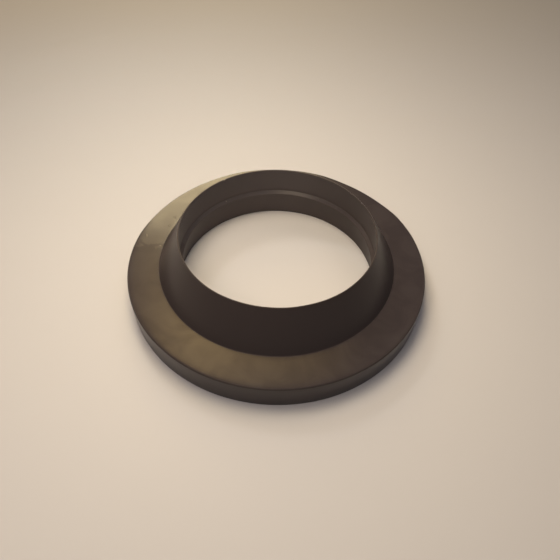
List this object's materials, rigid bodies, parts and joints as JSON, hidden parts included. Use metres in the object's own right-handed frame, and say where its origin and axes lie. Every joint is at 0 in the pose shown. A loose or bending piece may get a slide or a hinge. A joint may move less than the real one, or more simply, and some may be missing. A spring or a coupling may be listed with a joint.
{
  "type": "waste valve gasket",
  "caption": "Flanged rubber ring with a thin tapered collar round its hole, which seals and centres a waste valve in the hole of a sink or bath.",
  "frame": {"origin": "centre of the flat underside, on the axis of the hole", "axes": "+Z along the axis of the hole, from the flat underside up through the collar; the ring is the same all round, so +X and +Y are free"},
  "size_m": [0.072, 0.072, 0.0154],
  "materials": {
    "rubber": "satin black moulded rubber, slightly brown"
  },
  "bodies": {
    "root": {"gasket": "rubber"}
  },
  "joints": []
}
